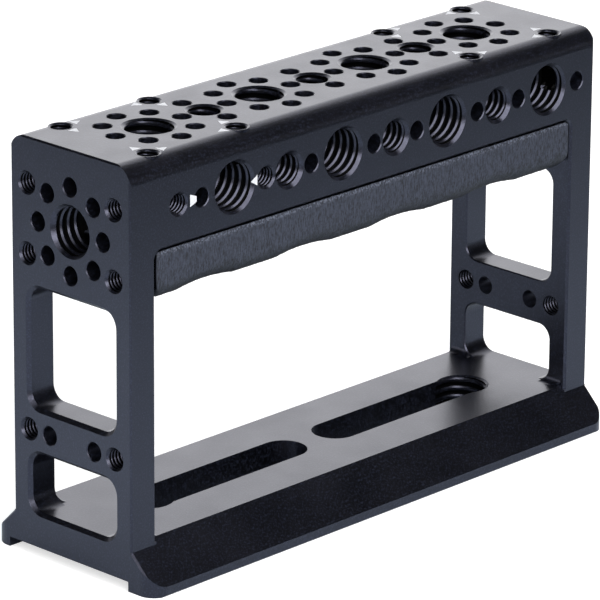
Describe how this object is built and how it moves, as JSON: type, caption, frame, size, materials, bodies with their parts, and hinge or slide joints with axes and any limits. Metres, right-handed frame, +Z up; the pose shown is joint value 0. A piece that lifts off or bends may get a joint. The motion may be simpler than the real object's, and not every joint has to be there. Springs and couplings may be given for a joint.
{
  "type": "camera rig handle frame",
  "caption": "Rectangular machined frame with a finger grip under its top bar, rows of tapped and pin holes on five faces, and a slotted dovetail foot for mounting cameras.",
  "frame": {"origin": "bottom centre of the part's bounding box, on the plane that the foot stands on", "axes": "+X along the top bar, to the right as seen from the front; +Y from front to back; +Z up"},
  "size_m": [0.1116, 0.038, 0.0722],
  "materials": {
    "black_anodised": "satin black anodised over a fine bead blast",
    "grip_material": "matte, fine upright grain",
    "screw_steel": "black oxide"
  },
  "bodies": {
    "root": {"cage_frame": "black_anodised", "grip": "grip_material", "grip_screws": "screw_steel"}
  },
  "joints": []
}
